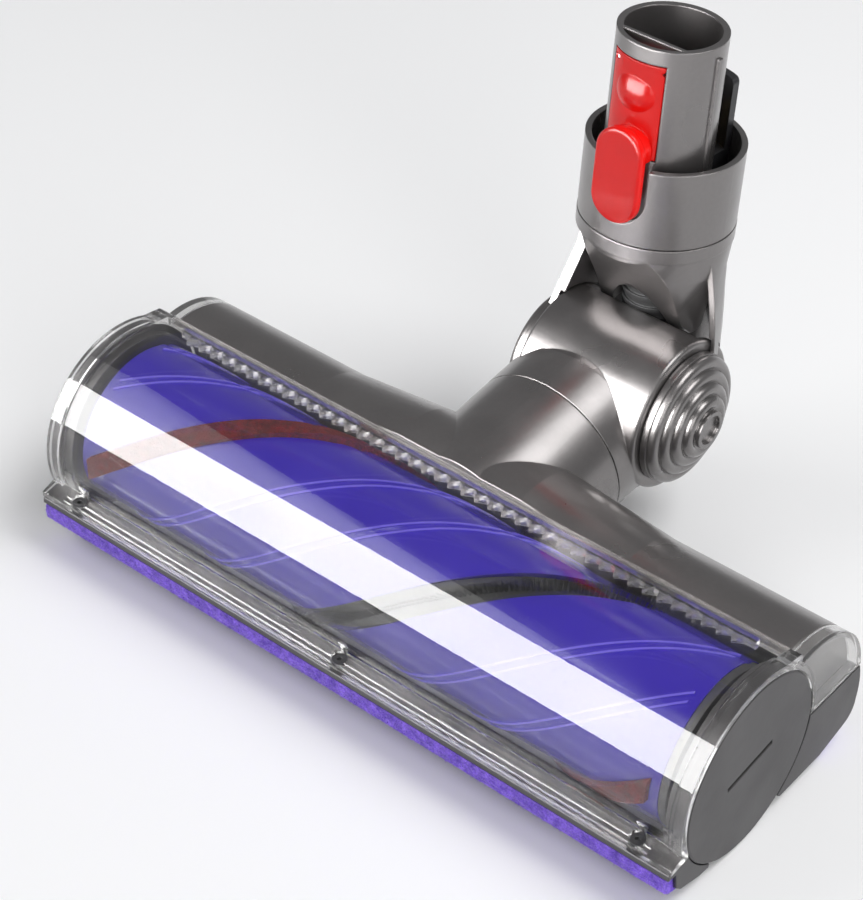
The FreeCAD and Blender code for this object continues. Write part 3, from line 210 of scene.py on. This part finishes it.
def clear_plastic(name, tint, clearness):
    """Clear polycarbonate: light reaches what lies under it, and the edges look smoky."""
    mat, n, links = material(name)
    out = n.new("ShaderNodeOutputMaterial")
    coords = n.new("ShaderNodeTexCoord")
    glass = add(n, "ShaderNodeBsdfPrincipled", IOR=1.45)
    glass.inputs["Transmission Weight"].default_value = 1.0
    glass.inputs["Base Color"].default_value = tint + (1.0,)
    smears = noise_of(n, links, coords, 22.0, 3.0)
    links.new(ranged(n, links, smears.outputs["Fac"], 0.003, 0.012), glass.inputs["Roughness"])
    bevel = n.new("ShaderNodeBevel")
    bevel.samples = 4
    bevel.inputs["Radius"].default_value = 0.0004
    links.new(bevel.outputs["Normal"], glass.inputs["Normal"])
    through = n.new("ShaderNodeBsdfTransparent")
    through.inputs["Color"].default_value = tint + (1.0,)
    path = n.new("ShaderNodeLightPath")
    either = n.new("ShaderNodeMath")
    either.operation = "MAXIMUM"
    links.new(path.outputs["Is Shadow Ray"], either.inputs[0])
    links.new(path.outputs["Is Diffuse Ray"], either.inputs[1])
    share = n.new("ShaderNodeMath")
    share.operation = "MAXIMUM"
    share.inputs[1].default_value = clearness
    links.new(either.outputs["Value"], share.inputs[0])
    mix = n.new("ShaderNodeMixShader")
    links.new(share.outputs["Value"], mix.inputs["Fac"])
    links.new(glass.outputs["BSDF"], mix.inputs[1])
    links.new(through.outputs["BSDF"], mix.inputs[2])
    links.new(mix.outputs["Shader"], out.inputs["Surface"])
    return mat


def fibrous(name, dark, light, scale, depth, sheen=0.6):
    """Felt or plush: tangled short fibres that catch the light at a low angle."""
    mat, n, links = material(name)
    out = n.new("ShaderNodeOutputMaterial")
    coords = n.new("ShaderNodeTexCoord")
    shader = add(n, "ShaderNodeBsdfPrincipled", Roughness=0.95)
    shader.inputs["Sheen Weight"].default_value = sheen
    shader.inputs["Sheen Roughness"].default_value = 0.45
    shader.inputs["Specular IOR Level"].default_value = 0.15
    warp = noise_of(n, links, coords, scale * 0.22, 3.0)
    fine = noise_of(n, links, coords, scale, 4.0, 0.7)
    cells = add(n, "ShaderNodeTexVoronoi", Scale=scale * 0.7)
    links.new(coords.outputs["Object"], cells.inputs["Vector"])
    total = n.new("ShaderNodeMath")
    total.operation = "MULTIPLY"
    links.new(fine.outputs["Fac"], total.inputs[0])
    links.new(warp.outputs["Fac"], total.inputs[1])
    mix = n.new("ShaderNodeMix")
    mix.data_type = "RGBA"
    mix.inputs["A"].default_value = dark + (1.0,)
    mix.inputs["B"].default_value = light + (1.0,)
    spread = n.new("ShaderNodeMapRange")
    spread.inputs["From Min"].default_value = 0.12
    spread.inputs["From Max"].default_value = 0.42
    links.new(total.outputs["Value"], spread.inputs["Value"])
    links.new(spread.outputs["Result"], mix.inputs["Factor"])
    links.new(mix.outputs["Result"], shader.inputs["Base Color"])
    height = n.new("ShaderNodeMath")
    height.operation = "SUBTRACT"
    links.new(fine.outputs["Fac"], height.inputs[0])
    links.new(cells.outputs["Distance"], height.inputs[1])
    bump = add(n, "ShaderNodeBump", Strength=0.9, Distance=depth)
    links.new(height.outputs["Value"], bump.inputs["Height"])
    links.new(bump.outputs["Normal"], shader.inputs["Normal"])
    links.new(shader.outputs["BSDF"], out.inputs["Surface"])
    return mat


GREY = (0.19, 0.18, 0.178)
finishes = {
    "housing": solid("housing", GREY, 0.31, metallic=0.8, coat=0.3, coat_rough=0.14, edge=0.0007),
    "base": solid("base", (0.045, 0.043, 0.045), 0.4, metallic=0.25, edge=0.0006),
    "clear": clear_plastic("clear", (0.90, 0.895, 0.89), 0.06),
    "felt": fibrous("felt", (0.11, 0.04, 0.50), (0.34, 0.17, 1.0), 1500.0, 0.0005, sheen=0.25),
    # The core's raised lines get a painted highlight in a lighter blue.
    "core": painted_ridge_highlight(solid("core", (0.038, 0.012, 0.50), 0.2, coat=0.6, coat_rough=0.04, grain=240.0,
                         edge=0.0002), (0.22, 0.16, 0.95)),
    "plush": fibrous("plush", (0.05, 0.001, 0.003), (0.26, 0.006, 0.012), 1800.0, 0.0006, sheen=0.0),
    "backing": solid("backing", (0.008, 0.008, 0.009), 0.6, spec=0.25),
    "bristle": solid("bristle", (0.006, 0.006, 0.007), 0.6, edge=0.0, spec=0.2),
    "bar_plastic": solid("bar_plastic", (0.035, 0.035, 0.037), 0.45),
    "bush": solid("bush", (0.45, 0.27, 0.08), 0.35, metallic=1.0),
    "steel": solid("steel", (0.55, 0.55, 0.56), 0.24, metallic=1.0),
    "screw": solid("screw", (0.42, 0.42, 0.43), 0.32, metallic=1.0, edge=0.0002),
    "dark_screw": solid("dark_screw", (0.03, 0.03, 0.032), 0.35, metallic=0.8, edge=0.0002),
    "spring_steel": solid("spring_steel", (0.45, 0.45, 0.47), 0.28, metallic=1.0, edge=0.0001),
    "magnet": solid("magnet", (0.03, 0.03, 0.032), 0.6),
    "armature": solid("armature", (0.30, 0.16, 0.09), 0.35, metallic=0.9),
    "mount": solid("mount", (0.55, 0.55, 0.57), 0.4, metallic=1.0),
    "gear": solid("gear", (0.72, 0.68, 0.58), 0.4, edge=0.0001),
    "wheel": solid("wheel", (0.022, 0.022, 0.024), 0.62, grain=1400.0, grain_depth=0.00006),
    "seal": solid("seal", (0.012, 0.012, 0.012), 0.6),
    "hose": solid("hose", (0.014, 0.014, 0.015), 0.5),
    "duct": solid("duct", (0.07, 0.07, 0.074), 0.45),
    "button": solid("button", (0.82, 0.005, 0.003), 0.24, coat=0.12, coat_rough=0.03, grain=160.0,
                    edge=0.0006, spread=0.03, spec=0.22),
    "plug": solid("plug", (0.014, 0.014, 0.016), 0.42),
    "blade": solid("blade", (0.55, 0.38, 0.14), 0.25, metallic=1.0, edge=0.0001),
    "board": solid("board", (0.01, 0.07, 0.03), 0.4),
    "board_part": solid("board_part", (0.015, 0.015, 0.017), 0.4),
}

slot_of = {s["node"]: s["material_slot"] for s in frame["record"]["subparts"]}
for name, obj in nodes.items():
    obj.data.materials.clear()
    obj.data.materials.append(finishes[slot_of[name]])
nodes["cover_screws"].data.materials[0] = finishes["dark_screw"]


def helix(x, radius, angle, across=0.0):
    """A point on a strip wound round the bar, across it by a distance, at a radius."""
    a = TWIST * x + angle
    y = radius * math.cos(a) - across * math.sin(a)
    z = radius * math.sin(a) + across * math.cos(a)
    return Vector((x, BAR_Y + y, BAR_Z + z))


def hairs(name, roots, sides=3, steps=2):
    """One mesh of tapered hairs: each root is (start, end, thickness)."""
    verts = []
    faces = []
    for start, end, thick in roots:
        along = (end - start).normalized()
        side = along.orthogonal().normalized()
        other = along.cross(side)
        base = len(verts)
        for level in range(steps + 1):
            share = level / steps
            size = thick * (1.0 - 0.55 * share)
            middle = start.lerp(end, share)
            for k in range(sides):
                a = 2 * math.pi * k / sides
                verts.append(middle + side * (size * math.cos(a)) + other * (size * math.sin(a)))
        for level in range(steps):
            for k in range(sides):
                a = base + level * sides + k
                b = base + level * sides + (k + 1) % sides
                faces.append((a, b, b + sides, a + sides))
        faces.append(tuple(base + steps * sides + k for k in range(sides)))
    mesh = bpy.data.meshes.new(name)
    mesh.from_pydata([tuple(v) for v in verts], [], faces)
    mesh.update()
    obj = bpy.data.objects.new(name, mesh)
    bpy.context.scene.collection.objects.link(obj)
    return obj


def bristle_tufts():
    """Two rows of tufts along the bristle strip, set half a pitch apart."""
    count = int((STRIP_RIGHT - STRIP_LEFT) / TUFT_PITCH)
    roots = []
    for i in range(count):
        x0 = STRIP_LEFT + TUFT_MARGIN + i * TUFT_PITCH
        for row in TUFT_ROWS:
            x1 = x0 + (TUFT_PITCH / 2 if row > 0 else 0.0)
            lean = random.gauss(0.0, 0.00012)
            for _ in range(TUFT_HAIRS):
                a = random.uniform(0, 2 * math.pi)
                r = TUFT_RADIUS * math.sqrt(random.random())
                wide = TUFT_SPREAD * r
                start = helix(x1 + r * math.cos(a), TUFT_ROOT, BRISTLE_ANGLE, row + r * math.sin(a))
                tip = helix(x1 + wide * math.cos(a) + lean, TUFT_TIP - random.uniform(0, 0.0005),
                            BRISTLE_ANGLE, row + wide * math.sin(a) + random.gauss(0, 0.00008))
                roots.append((start, tip, BRISTLE_THICKNESS))
    return hairs("bristle_tufts", roots)


def plush_pile():
    """Short pile over the plush strip, a little lower towards the strip's two edges."""
    roots = []
    for _ in range(PILE_HAIRS):
        x = random.uniform(STRIP_LEFT, STRIP_RIGHT)
        across = random.uniform(-PILE_HALF_WIDTH, PILE_HALF_WIDTH)
        edge = abs(across) / PILE_HALF_WIDTH
        high = PILE_TIP - 0.0005 * edge ** 4 - random.uniform(0, 0.0004)
        start = helix(x, PILE_ROOT, PLUSH_ANGLE, across)
        tip = helix(x + random.gauss(0, 0.0003), high, PLUSH_ANGLE,
                    across * 1.02 + random.gauss(0, 0.00025))
        roots.append((start, tip, PILE_THICKNESS))
    return hairs("plush_pile", roots, steps=1)


def fuzz(name, node):
    """Loose fibres that stand on a felt strip's faces, apart from the sole side."""
    obj = nodes[node]
    mesh = obj.data
    mesh.calc_loop_triangles()
    place = obj.matrix_world
    faces = []
    sizes = []
    for triangle in mesh.loop_triangles:
        corners = [place @ mesh.vertices[i].co for i in triangle.vertices]
        across = (corners[1] - corners[0]).cross(corners[2] - corners[0])
        if across.length < 1e-12 or across.normalized().z < -0.6:
            continue
        faces.append((corners, across.normalized()))
        sizes.append(across.length)
    roots = []
    for corners, normal in random.choices(faces, weights=sizes, k=FUZZ_HAIRS[node]):
        a = math.sqrt(random.random())
        b = random.random()
        start = corners[0] * (1 - a) + corners[1] * (a * (1 - b)) + corners[2] * (a * b)
        lean = Vector((random.gauss(0, 0.6), random.gauss(0, 0.6), random.gauss(0, 0.5)))
        tip = start + (normal + lean).normalized() * FUZZ_LENGTH * random.uniform(0.5, 1.0)
        tip.z = max(tip.z, FUZZ_LOWEST)
        roots.append((start, tip, FUZZ_THICKNESS))
    return hairs(name, roots, steps=1)


for piece_name, felt in (("front_fuzz", "front_felt"), ("rear_fuzz", "rear_felt")):
    fibres = fuzz(piece_name, felt)
    fibres.data.materials.append(finishes["felt"])
    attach(fibres, "head")

tufts = bristle_tufts()
tufts.data.materials.append(finishes["bristle"])
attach(tufts, "brush_bar")
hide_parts("bristle_strip")
pile = plush_pile()
pile.data.materials.append(finishes["plush"])
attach(pile, "brush_bar")


def flexible(name, node):
    """A piece of its own with a CAD node's form, which stands in for the node and hides it."""
    piece = bpy.data.objects.new(name, nodes[node].data.copy())
    piece.matrix_world = nodes[node].matrix_world.copy()
    bpy.context.scene.collection.objects.link(piece)
    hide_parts(node)
    return piece


hose = flexible("elbow_bellows", "elbow_hose")
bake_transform(hose)
coil = flexible("button_coil", "button_spring")
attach(coil, "wand")
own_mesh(coil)


def matrix_from(axes, place):
    """A placement from the right, up and back directions and a point."""
    right, up, back = axes
    return Matrix(((right[0], up[0], back[0], place[0]),
                   (right[1], up[1], back[1], place[1]),
                   (right[2], up[2], back[2], place[2]),
                   (0, 0, 0, 1)))


camera_data = bpy.data.cameras.new("camera")
camera_data.sensor_width = 36.0
camera_data.lens = CAMERA_LENS
camera = bpy.data.objects.new("camera", camera_data)
bpy.context.scene.collection.objects.link(camera)
level = math.cos(CAMERA_ELEVATION)
forward = Vector((-math.sin(CAMERA_AZIMUTH) * level, math.cos(CAMERA_AZIMUTH) * level,
                  -math.sin(CAMERA_ELEVATION)))
right = Vector((math.cos(CAMERA_AZIMUTH), math.sin(CAMERA_AZIMUTH), 0))
camera.matrix_world = matrix_from((right, right.cross(forward), -forward), CAMERA_PLACE)
bpy.context.scene.camera = camera


def softbox(name, width, height, power, side, back, place):
    """A rectangular light: side runs along its width, and back points away from what it lights."""
    data = bpy.data.lights.new(name, "AREA")
    data.shape = "RECTANGLE"
    data.size = width
    data.size_y = height
    data.energy = power
    obj = bpy.data.objects.new(name, data)
    bpy.context.scene.collection.objects.link(obj)
    obj.matrix_world = matrix_from((side, back.cross(side), back), place)
    return obj


def panel(name, place, width, height, power, mirrored=True):
    """A softbox that looks at the object. Where mirrored is False, gloss doesn't show it."""
    back = (Vector(place) - Vector(LIGHTS_AIM)).normalized()
    side = Vector((0, 0, 1)).cross(back).normalized()
    obj = softbox(name, width, height, power, side, back, place)
    obj.visible_glossy = mirrored


def stripe_panel():
    """The long softbox in front, whose edges show as the straight edges of the cover's highlight."""
    middle = (STRIPE_LOW + STRIPE_HIGH) / 2
    back = Vector((0, math.cos(middle), math.sin(middle)))
    centre = Vector((STRIPE_X, BAR_Y, BAR_Z)) + back * STRIPE_DISTANCE
    height = 2 * STRIPE_DISTANCE * math.tan((STRIPE_HIGH - STRIPE_LOW) / 2)
    obj = softbox("stripe", STRIPE_LENGTH, height, STRIPE_POWER, Vector((-1, 0, 0)), back, centre)
    obj.visible_diffuse = False
    obj.visible_transmission = False


stripe_panel()
panel("key", (0.65, 0.45, 1.3), 0.8, 0.8, 14.0)
panel("left", (-0.85, -0.55, 0.75), 0.8, 0.9, 5.0, mirrored=False)
panel("right", (0.95, -0.55, 0.5), 0.5, 0.9, 5.0)

world = bpy.data.worlds.new("world")
world.use_nodes = True
bpy.context.scene.world = world
background = world.node_tree.nodes["Background"]
background.inputs["Color"].default_value = (0.92, 0.93, 0.95, 1)
background.inputs["Strength"].default_value = 0.26

floor_mesh = bpy.data.meshes.new("floor")
floor_mesh.from_pydata([(-4, -4, 0), (4, -4, 0), (4, 4, 0), (-4, 4, 0)], [], [(0, 1, 2, 3)])
floor = bpy.data.objects.new("floor", floor_mesh)
bpy.context.scene.collection.objects.link(floor)
floor_mat, floor_nodes, floor_links = material("floor")
floor_out = floor_nodes.new("ShaderNodeOutputMaterial")
floor_shader = add(floor_nodes, "ShaderNodeBsdfPrincipled", Roughness=0.9)
floor_shader.inputs["Base Color"].default_value = (0.93, 0.93, 0.935, 1)
floor_shader.inputs["Specular IOR Level"].default_value = 0.05
floor_links.new(floor_shader.outputs["BSDF"], floor_out.inputs["Surface"])
floor.data.materials.append(floor_mat)
bpy.context.scene.view_settings.view_transform = "Standard"
